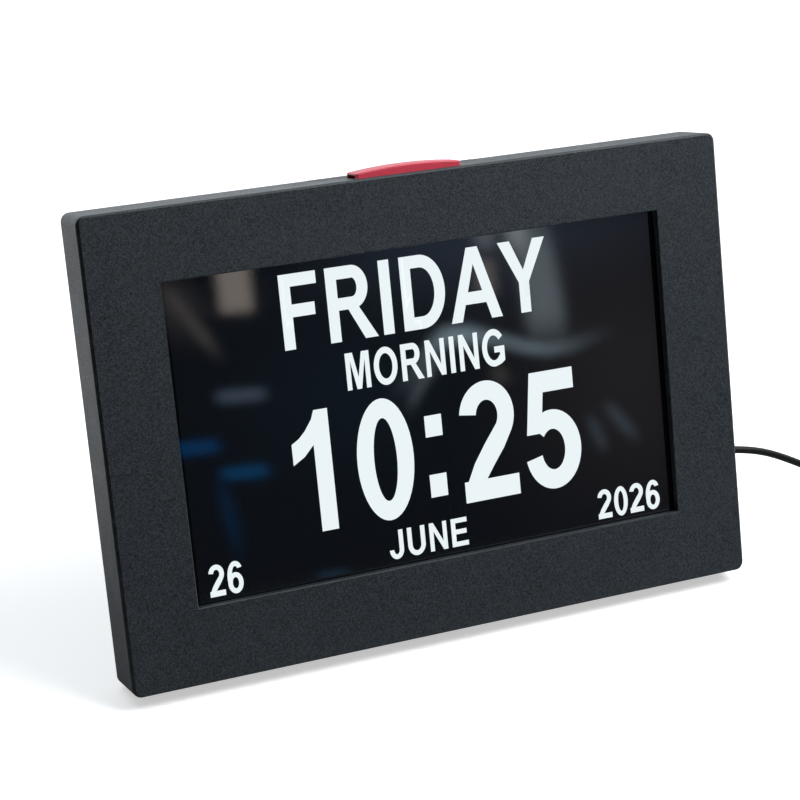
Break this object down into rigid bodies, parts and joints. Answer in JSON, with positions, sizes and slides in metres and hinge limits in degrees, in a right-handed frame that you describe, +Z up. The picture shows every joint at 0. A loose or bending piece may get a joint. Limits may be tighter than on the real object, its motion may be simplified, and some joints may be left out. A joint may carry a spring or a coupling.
{
  "type": "digital day clock",
  "caption": "Leaning table clock with a wide display in a charcoal case, a red bar button on top, a fold-out rear leg, rear keys and a mains adapter on a thin lead.",
  "frame": {"origin": "on the table under the middle of the clock, without its cord", "axes": "+X along the case's width, to the right of someone who reads the clock; +Y to the rear; +Z up"},
  "size_m": [0.4625, 0.0724, 0.1573],
  "materials": {
    "case_plastic": "fine-textured charcoal moulding",
    "cover_plastic": "fine-textured charcoal moulding",
    "button_red": "satin red moulding",
    "key_plastic": "satin black moulding",
    "black_plastic": "satin black moulding",
    "display_glass": "dark anti-glare panel",
    "foam": "soft black foam",
    "foot_rubber": "matt black rubber",
    "tray_metal": "folded and brushed sheet",
    "steel": "zinc-plated",
    "screw_steel": "dark zinc-plated",
    "ribbon_film": "amber polyimide film",
    "board_green": "green solder mask",
    "chip_black": "matt epoxy",
    "socket_cream": "cream moulding",
    "can_metal": "drawn can",
    "cell_steel": "bright nickel plate",
    "brass": "bright contact",
    "cord_pvc": "smooth black PVC",
    "tie_strap": "black strap",
    "adapter_plastic": "fine-textured black moulding",
    "pin_nickel": "nickel plate"
  },
  "bodies": {
    "root": {"front_frame": "case_plastic", "back_cover": "cover_plastic", "case_screws": "screw_steel", "foot_pads": "foot_rubber", "display_gasket": "foam", "lcd_panel": "display_glass", "light_tray": "tray_metal", "display_ribbon": "ribbon_film", "panel_brackets": "steel", "bracket_screws": "steel", "button_switch": "chip_black", "button_board": "board_green", "button_board_screws": "steel", "main_board": "board_green", "main_board_screws": "steel", "processor": "chip_black", "ribbon_socket": "socket_cream", "capacitors": "can_metal", "coin_cell_holder": "black_plastic", "coin_cell": "cell_steel", "power_jack": "black_plastic", "jack_pin": "brass", "speaker": "chip_black", "speaker_foam": "foam", "key_board": "board_green", "key_switches": "chip_black", "key_board_screws": "steel", "stand_pin": "steel", "plug_sleeve": "pin_nickel", "plug_grip": "black_plastic", "plug_relief": "cord_pvc", "power_lead": "cord_pvc", "cord_coil": "cord_pvc", "cord_tie": "tie_strap", "adapter_lead": "cord_pvc", "adapter_relief": "cord_pvc", "wall_adapter": "adapter_plastic", "adapter_pins": "pin_nickel"},
    "bar_button": {"top_button": "button_red", "button_plunger": "black_plastic"},
    "rear_key_1": {"key_1": "key_plastic", "key_plunger_1": "socket_cream"},
    "rear_key_2": {"key_2": "key_plastic", "key_plunger_2": "socket_cream"},
    "rear_key_3": {"key_3": "key_plastic", "key_plunger_3": "socket_cream"},
    "rear_key_4": {"key_4": "key_plastic", "key_plunger_4": "socket_cream"},
    "rear_key_5": {"key_5": "key_plastic", "key_plunger_5": "socket_cream"},
    "rear_key_6": {"key_6": "key_plastic", "key_plunger_6": "socket_cream"},
    "leg": {"stand_leg": "cover_plastic", "stand_tip": "foot_rubber"}
  },
  "joints": [
    {"name": "bar_button_press", "type": "slide", "parent": "root", "child": "bar_button", "axis": [0, -0.2402, -0.9707], "range_m": [0, 0.0006], "stiffness_N_per_m": 2500},
    {"name": "leg_fold", "type": "hinge", "parent": "root", "child": "leg", "pos_m": [0, 0.01268, 0.08049], "axis": [-1, 0, 0], "range_deg": [0, 27]},
    {"name": "key_1_press", "type": "slide", "parent": "root", "child": "rear_key_1", "axis": [0, -0.9707, 0.2402], "range_m": [0, 0.0006], "stiffness_N_per_m": 1500},
    {"name": "key_2_press", "type": "slide", "parent": "root", "child": "rear_key_2", "axis": [0, -0.9707, 0.2402], "range_m": [0, 0.0006], "stiffness_N_per_m": 1500},
    {"name": "key_3_press", "type": "slide", "parent": "root", "child": "rear_key_3", "axis": [0, -0.9707, 0.2402], "range_m": [0, 0.0006], "stiffness_N_per_m": 1500},
    {"name": "key_4_press", "type": "slide", "parent": "root", "child": "rear_key_4", "axis": [0, -0.9707, 0.2402], "range_m": [0, 0.0006], "stiffness_N_per_m": 1500},
    {"name": "key_5_press", "type": "slide", "parent": "root", "child": "rear_key_5", "axis": [0, -0.9707, 0.2402], "range_m": [0, 0.0006], "stiffness_N_per_m": 1500},
    {"name": "key_6_press", "type": "slide", "parent": "root", "child": "rear_key_6", "axis": [0, -0.9707, 0.2402], "range_m": [0, 0.0006], "stiffness_N_per_m": 1500}
  ]
}
